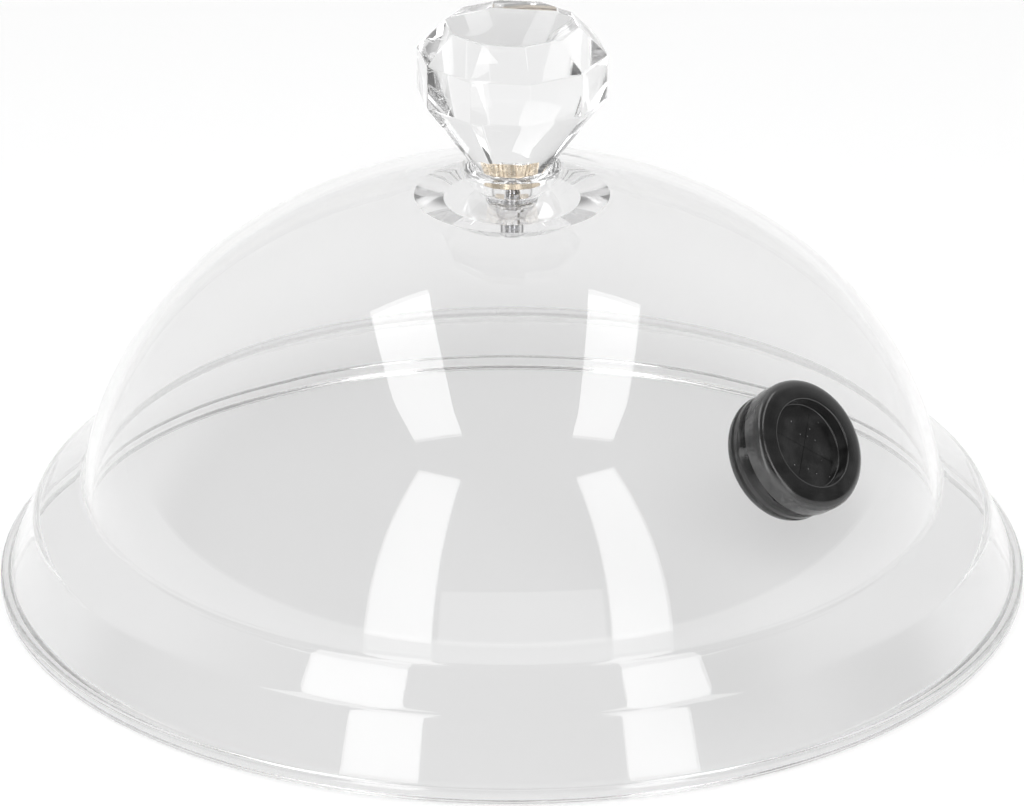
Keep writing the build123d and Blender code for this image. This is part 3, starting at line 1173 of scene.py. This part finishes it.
@dataclass
class RubberValve:
    """Black rubber grommet in the dome's side: two flanges, a neck, a cup and four flaps."""

    dome: DomeShell
    fit: float = 0.1
    flange_radius: float = 16.6
    flange_height: float = 4.6
    flange_shoulder: float = 0.4
    flange_rounding: float = 2.6
    groove_depth: float = 0.6
    groove_width: float = 1.0
    groove_edge: float = 0.2
    groove_root: float = 0.15
    cup_radius: float = 11.0
    cup_depth: float = 3.6
    cup_edge: float = 0.5
    cup_root: float = 0.4
    membrane: float = 1.0
    bore_radius: float = 10.0
    bore_root: float = 0.3
    neck_radius: float = 12.4
    inner_radius: float = 15.8
    inner_thickness: float = 8.4
    inner_rounding: float = 3.0
    inner_groove: float = 4.8
    bevel_width: float = 2.8
    bevel_height: float = 3.0
    bevel_edge: float = 0.5
    bearing_radius: float = 14.0
    flaps: int = 4
    flap_reach: float = 6.5
    flap_bend: float = 3.0  # width of the strip along its base in which a flap bends
    flap_tip: float = 0.02
    flap_rows: int = 14
    flap_columns: int = 12
    slit: float = 0.12
    segments: int = 192
    fitting_rounds: int = 12

    def __post_init__(self) -> None:
        """Works out the valve's own frame, square to the dome's outer face."""
        self.middle, self.axis = self.dome.valve_middle, self.dome.valve_axis
        self.upward = self.axis.cross(ACROSS)
        self.back = -self.dome.wall - self.inner_thickness
        self.cup_floor = self.flange_height - self.cup_depth
        self.flap_face = self.cup_floor - self.membrane
        self.angles = np.arange(self.segments) * tau / self.segments

    def finish(self) -> BlackRubber:
        """Rubber with dust in this valve's cup."""
        cup_middle = (self.middle + self.axis * self.cup_floor) * MM
        return BlackRubber("black_valve_rubber", cup_middle, self.axis, self.cup_radius * MM)

    def points(self, radius: np.ndarray | float, height: np.ndarray | float,
               angles: np.ndarray | None = None) -> np.ndarray:
        """Points round the valve's axis, in millimetres.

        Args:
            radius: distances from the axis.
            height: heights over the dome's outer face along the axis.
            angles: directions round the axis; the whole ring if left out.

        Returns:
            One row for each point.
        """
        angles = self.angles if angles is None else angles
        radius = np.broadcast_to(radius, angles.shape)
        height = np.broadcast_to(height, angles.shape)
        out = np.outer(radius * np.cos(angles), ACROSS) + np.outer(radius * np.sin(angles), self.upward)
        return np.array(self.middle) + out + np.outer(height, self.axis)

    def on_wall(self, radius: float, inset: float) -> np.ndarray:
        """Heights of a ring that lies on a face of the dome's wall.

        Args:
            radius: the ring's radius.
            inset: depth of that face under the outer face.

        Returns:
            The heights, one for each segment.
        """
        heights = np.full(self.segments, -inset)
        centre = self.dome.side_centre
        for _ in range(self.fitting_rounds):
            spot = self.points(radius, heights)
            reach = np.hypot(np.hypot(spot[:, 0], spot[:, 1]) - centre.real, spot[:, 2] - centre.imag)
            heights = heights - (reach - (self.dome.side_arc - inset))
        return heights

    def rings(self) -> list[np.ndarray]:
        """Rings of the body in order round its section, from the window's lower edge out and back.

        Returns:
            The points of each ring, in millimetres.
        """
        square = self.flap_reach / np.maximum(np.abs(np.cos(self.angles)), np.abs(np.sin(self.angles)))
        groove = -self.dome.wall - self.inner_groove
        half = self.groove_width / 2
        behind = rounded([
            (complex(self.bore_radius, self.flap_face), self.bore_root),
            (complex(self.bore_radius, self.back), self.cup_edge),
            (complex(self.inner_radius, self.back), self.inner_rounding),
            (complex(self.inner_radius, groove - half), self.groove_edge),
            (complex(self.inner_radius - self.groove_depth, groove), self.groove_root),
            (complex(self.inner_radius, groove + half), self.groove_edge),
            (complex(self.inner_radius, -self.dome.wall - self.bevel_height), self.bevel_edge),
            (complex(self.inner_radius - self.bevel_width, -self.dome.wall), 0.0),
            (complex(0, -self.dome.wall), 0.0),
            (complex(0, self.flap_face), 0.0),
        ])[:-3]
        ahead = rounded([
            (complex(0, 0), 0.0),
            (complex(self.flange_radius, 0), 0.0),
            (complex(self.flange_radius, self.flange_height - self.flange_shoulder), self.flange_rounding),
            (complex(self.cup_radius, self.flange_height), self.cup_edge),
            (complex(self.cup_radius, self.cup_floor), self.cup_root),
            (complex(0, self.cup_floor), 0.0),
        ])[2:-1]
        inside, outside = self.dome.wall + self.fit, -self.fit
        waist = [self.points(radius, self.on_wall(radius, inset)) for radius, inset in (
            (self.bearing_radius, inside), (self.neck_radius, inside),
            (self.neck_radius, outside), (self.flange_radius, outside))]
        return [
            self.points(square, self.flap_face),
            *[self.points(p.real, p.imag) for p in behind],
            *waist,
            *[self.points(p.real, p.imag) for p in ahead],
            self.points(square, self.cup_floor),
        ]

    def build(self) -> None:
        """Builds the body and its flaps."""
        material = self.finish().make()
        rings = self.rings()
        size = self.segments
        faces = []
        for i in range(len(rings)):
            low, high = i * size, (i + 1) % len(rings) * size
            faces += [(low + j, low + (j + 1) % size, high + (j + 1) % size, high + j) for j in range(size)]
        body = mesh_piece("rubber_valve", np.concatenate(rings) * MM, faces)
        body.data.materials.append(material)
        keep_edges(body, Edges.MOULDED)
        set_in_place(body, Body.DOME, "valve_body")
        for index in range(self.flaps):
            self.build_flap(index, material)

    def build_flap(self, index: int, material: bpy.types.Material) -> None:
        """Builds one flap.

        Args:
            index: number of the flap round the valve, from 0.
            material: its finish.
        """
        turned = tau * index / self.flaps
        flap = mesh_piece(f"rubber_flap_{index + 1}", self.flap_points(turned) * MM, self.flap_faces())
        flap.data.materials.append(material)
        keep_edges(flap, Edges.MOULDED)
        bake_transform(flap)
        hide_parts(f"valve_flap_{index + 1}")
        log.info("%s bends between the dome and its own body", flap.name)

    def flap_points(self, turned: float) -> np.ndarray:
        """Points of a flap, in millimetres: rows from its base to its tip, in front and then behind.

        Args:
            turned: the flap's direction round the valve, in radians.

        Returns:
            One row for each point.
        """
        tip = self.slit / sqrt(2)
        rows, columns = self.flap_rows, self.flap_columns
        flat = []
        for i in range(rows + 1):
            out = self.flap_reach + (tip + self.flap_tip - self.flap_reach) * i / rows
            flat += [complex(out, (out - tip) * (2 * k / columns - 1)) for k in range(columns + 1)]
        reach, angles = np.abs(flat), turned + np.angle(flat)
        front, back = [self.points(reach, height, angles) for height in (self.cup_floor, self.flap_face)]
        return np.concatenate([front, back])

    def flap_faces(self) -> list[list[int]]:
        """Faces of a flap: its front, its back and its edge.

        Returns:
            Corner numbers of each face.
        """
        rows, columns = self.flap_rows, self.flap_columns
        row = columns + 1
        size = (rows + 1) * row
        corners = [r * row + c for r in range(rows) for c in range(columns)]
        front = [[a, a + 1, a + row + 1, a + row] for a in corners]
        back = [[size + corner for corner in face[::-1]] for face in front]
        border = list(range(columns))
        border += [r * row + columns for r in range(rows)]
        border += [rows * row + c for c in range(columns, 0, -1)]
        border += [r * row for r in range(rows, 0, -1)]
        edge = [[a, size + a, size + b, b] for a, b in zip(border, border[1:] + border[:1])]
        return front + back + edge


@dataclass(frozen=True)
class SoftLamp:
    """Flat soft lamp, placed as the camera sees it.

    Its middle is given in metres as right of, behind and above the middle of the rim. A standing lamp
    faces the object, a hanging one faces down.
    """

    name: str
    right: float
    behind: float
    above: float
    width: float
    length: float
    radiance: float
    hanging: bool = False
    turned: float = 0.0
    matt_only: bool = False  # lights matt surfaces, and isn't seen in gloss or through glass

    def build(self, azimuth: float) -> None:
        """Builds the lamp.

        Args:
            azimuth: the camera's azimuth, in degrees.
        """
        a = radians(azimuth)
        ahead = Vector((-sin(a), cos(a), 0.0))
        place = Vector((cos(a), sin(a), 0.0)) * self.right + ahead * self.behind
        lamp = bpy.data.lights.new(self.name, "AREA")
        lamp.shape = "RECTANGLE"
        lamp.size, lamp.size_y = self.width, self.length
        lamp.energy = self.radiance * pi * self.width * self.length
        holder = bpy.data.objects.new(self.name, lamp)
        holder.location = place + Vector((0.0, 0.0, self.above))
        if self.hanging:
            holder.rotation_euler = (0.0, 0.0, a + radians(self.turned))
        else:
            holder.rotation_euler = place.to_track_quat("Z", "Y").to_euler()
        if self.matt_only:
            holder.visible_glossy = False
            holder.visible_transmission = False
        bpy.context.scene.collection.objects.link(holder)


@dataclass
class Studio:
    """White floor, a room that is white behind the object and dim before it, soft lamps and the camera.

    Sizes are in metres, angles in degrees, and a radiance of 1 is white. The edges of a standing lamp are
    directions to the right of the camera. Sizes of the hanging strips are shares of their height.
    """

    camera_azimuth: float = -48.0
    camera_distance: float = 1.56
    camera_elevation: float = 25.811
    camera_pitch: float = 24.280
    lens: float = 214.85
    bounces: int = 128  # the rim keeps rays for long
    clear_bounces: int = 32
    floor_gap: float = 0.2 * MM
    floor_reach: float = 40.0
    floor_white: float = 0.95
    floor_glow: float = 0.075
    lit_reach: tuple[float, float] = (0.3, 0.7)  # lamps light the near floor, the far floor glows
    lamp_radiance: float = 3.1
    left_edges: tuple[float, float] = (-36.0, -19.5)
    right_edges: tuple[float, float] = (24.5, 39.5)
    stand_distance: float = 1.3
    stand_height: float = 1.69
    stand_gap: float = 2 * MM
    apron_foot: float = 0.107  # radius of the bowl's foot
    apron_start: float = 0.2  # share of the way from there to the lamp
    apron_height: float = 1 * MM
    apron_radiance: float = 2.0
    hang_height: float = 1.6
    left_strip: tuple[float, float] = (-0.235, -0.45)
    right_strip: tuple[float, float] = (0.245, 0.43)
    strip_length: float = 0.81
    strip_behind: float = 0.01
    left_turn: float = 5.0
    fill_distance: float = 2.5
    fill_height: float = 1.6
    fill_size: tuple[float, float] = (1.0, 0.6)
    fill_radiance: float = 24.0
    card_edges: tuple[float, float] = (-18.0, 23.0)
    card_height: float = 0.41
    card_radiance: float = 0.7
    room_back: float = 0.95
    room_front: float = 0.2
    room_turn: tuple[float, float] = (0.1, 0.45)  # where the room goes from dim to white

    def lamps(self) -> list[SoftLamp]:
        """Two standing and two hanging lamps, a pale card between the standing ones, and a fill.

        Returns:
            The lamps.
        """
        return [
            self.standing("left_lamp", self.left_edges, self.stand_height, self.lamp_radiance),
            self.standing("right_lamp", self.right_edges, self.stand_height, self.lamp_radiance),
            self.standing("front_card", self.card_edges, self.card_height, self.card_radiance),
            SoftLamp("front_fill", 0.0, -self.fill_distance, self.fill_height, *self.fill_size,
                     self.fill_radiance, matt_only=True),
            self.hanging("left_strip", self.left_strip, self.left_turn),
            self.hanging("right_strip", self.right_strip, 0.0),
        ]

    def hanging(self, name: str, edges: tuple[float, float], turned: float) -> SoftLamp:
        """Lamp that hangs over the object.

        Args:
            name: the lamp's name.
            edges: its near and far edge, right of the object.
            turned: its turn about the upright, in degrees.

        Returns:
            The lamp.
        """
        near, far = edges
        return SoftLamp(
            name, right=(near + far) / 2 * self.hang_height, behind=self.strip_behind * self.hang_height,
            above=self.hang_height, width=abs(far - near) * self.hang_height,
            length=self.strip_length * self.hang_height, radiance=self.lamp_radiance, hanging=True,
            turned=turned)

    def standing(self, name: str, edges: tuple[float, float], height: float, radiance: float) -> SoftLamp:
        """Lamp that stands on the floor between two directions.

        Args:
            name: the lamp's name.
            edges: directions of its left and right edge.
            height: its height.
            radiance: its brightness.

        Returns:
            The lamp.
        """
        first, last = edges
        middle, half = radians(first + last) / 2, radians(last - first) / 2
        return SoftLamp(
            name, right=self.stand_distance * sin(middle), behind=-self.stand_distance * cos(middle),
            above=height / 2 + self.stand_gap, width=2 * self.stand_distance * tan(half), length=height,
            radiance=radiance)

    def direction(self, azimuth: float, elevation: float) -> Vector:
        """Direction from the object, with azimuth 0 towards -Y, in degrees."""
        a, e = radians(azimuth), radians(elevation)
        return Vector((sin(a) * cos(e), -cos(a) * cos(e), sin(e)))

    def build(self) -> None:
        """Builds the studio."""
        scene = bpy.context.scene
        scene.view_settings.view_transform = "Standard"
        scene.cycles.use_denoising = True
        scene.cycles.max_bounces = self.bounces
        scene.cycles.transmission_bounces = self.bounces
        scene.cycles.glossy_bounces = self.bounces
        scene.cycles.transparent_max_bounces = self.clear_bounces
        scene.cycles.caustics_reflective = False
        scene.cycles.caustics_refractive = False
        self.build_floor()
        self.build_room()
        for lamp in self.lamps():
            lamp.build(self.camera_azimuth)
        self.build_apron("left_apron", self.left_edges)
        self.build_apron("right_apron", self.right_edges)
        self.build_camera()

    def build_floor(self) -> None:
        """Builds the white floor, which glows a little so that it renders white, and keeps shadows."""
        reach = self.floor_reach
        corners = np.array([(-reach, -reach, 0), (reach, -reach, 0), (reach, reach, 0), (-reach, reach, 0)])
        floor = mesh_piece("floor", corners - (0, 0, self.floor_gap), [(0, 1, 2, 3)])
        material, wiring = start_material("white_floor")
        matt = wiring.add("ShaderNodeBsdfDiffuse", {"Color": grey(self.floor_white)})
        glow = wiring.add("ShaderNodeEmission", {"Color": grey(1.0), "Strength": self.floor_glow})
        near = wiring.add("ShaderNodeAddShader", {0: matt.outputs[0], 1: glow.outputs[0]})
        far = wiring.add("ShaderNodeEmission", {"Color": grey(1.0), "Strength": 1.0})
        distance = wiring.vector("LENGTH", wiring.place()).outputs["Value"]
        share = wiring.spread(distance, *self.lit_reach, 0.0, 1.0, smooth=True)
        whole = wiring.add("ShaderNodeMixShader", {0: share, 1: near.outputs[0], 2: far.outputs[0]})
        wiring.add("ShaderNodeOutputMaterial", {"Surface": whole.outputs[0]})
        floor.data.materials.append(material)

    def build_apron(self, name: str, edges: tuple[float, float]) -> None:
        """Builds the bright apron on the floor before a standing lamp, which the foot of the bowl reflects.

        Args:
            name: the apron's name.
            edges: directions of the lamp's left and right edge.
        """
        distance = self.stand_distance / cos(radians(edges[1] - edges[0]) / 2)
        far = [self.direction(self.camera_azimuth + edge, 0.0) * distance for edge in edges]
        foot = [self.direction(self.camera_azimuth + edge / 2, 0.0) * self.apron_foot for edge in edges]
        near = [start.lerp(end, self.apron_start) for start, end in zip(foot, far)]
        corners = np.array([*near, far[1], far[0]]) + (0, 0, self.apron_height)
        apron = mesh_piece(name, corners, [(0, 1, 2, 3)])
        material, wiring = start_material(name)
        glow = wiring.add("ShaderNodeEmission", {"Color": grey(1.0), "Strength": self.apron_radiance})
        wiring.add("ShaderNodeOutputMaterial", {"Surface": glow.outputs[0]})
        apron.data.materials.append(material)

    def build_room(self) -> None:
        """Builds the world: white behind the object, dim overhead and before it."""
        world = bpy.data.worlds.new("studio_room")
        bpy.context.scene.world = world
        world.use_nodes = True
        world.node_tree.nodes.clear()
        wiring = Wiring(world.node_tree)
        way = wiring.add("ShaderNodeTexCoord").outputs["Generated"]
        back = self.direction(self.camera_azimuth + 180, 0.0)
        behind = wiring.vector("DOT_PRODUCT", way, back).outputs["Value"]
        level = wiring.spread(behind, *self.room_turn, self.room_front, self.room_back, smooth=True)
        glow = wiring.add("ShaderNodeBackground", {"Color": grey(1.0), "Strength": level})
        wiring.add("ShaderNodeOutputWorld", {"Surface": glow.outputs[0]})

    def build_camera(self) -> None:
        """Builds the camera at the photograph's viewpoint."""
        data = bpy.data.cameras.new("camera")
        data.lens = self.lens
        camera = bpy.data.objects.new("camera", data)
        camera.location = self.direction(self.camera_azimuth, self.camera_elevation) * self.camera_distance
        camera.rotation_euler = (radians(90 - self.camera_pitch), 0.0, radians(self.camera_azimuth))
        bpy.context.scene.collection.objects.link(camera)
        bpy.context.scene.camera = camera


def thread_pitch() -> float:
    """Pitch of the knob's thread, in millimetres, from the coupling of the knob's turn to its lift.

    Returns:
        The pitch.
    """
    couplings = frame["record"]["behaviour"]["couplings"]
    ratio = next(c["ratio"] for c in couplings if c["joint"] == "knob_unscrew")
    return tau / ratio / MM


def main() -> None:
    """Builds the studio and every piece of the cloche, in order."""
    logging.basicConfig(level=logging.INFO, format="%(name)s: %(message)s")
    Studio().build()
    dome = DomeShell(ClearPlastic("clear_dome_plastic", tint=(0.92, 0.92, 0.92), shade=0.87, soak=1.2))
    dome.build()
    steel = TurnedMetal(
        "bright_screw_steel", bright=(0.82, 0.82, 0.83), dull=(0.66, 0.66, 0.68), roughness=(0.05, 0.12))
    silicone = Silicone("milky_silicone", colour=(0.97, 0.97, 0.97))
    stack = ScrewStack(steel, silicone, seat=dome.seat_height, ceiling=dome.ceiling, pitch=thread_pitch())
    stack.build()
    acrylic = ClearPlastic(
        "clear_knob_acrylic", tint=(0.98, 0.98, 0.98), shade=0.9, soak=2.0, ripple_size=9 * MM,
        ripple_height=0.03 * MM)
    FacetedKnob(acrylic, base=stack.knob_base).build()
    brass = TurnedMetal("pale_brass", bright=(0.8, 0.7, 0.56), dull=(0.62, 0.52, 0.4), roughness=(0.2, 0.36))
    BrassInsert(brass, base=stack.knob_base + stack.insert_recess).build()
    RubberValve(dome).build()


if __name__ == "__main__":
    main()
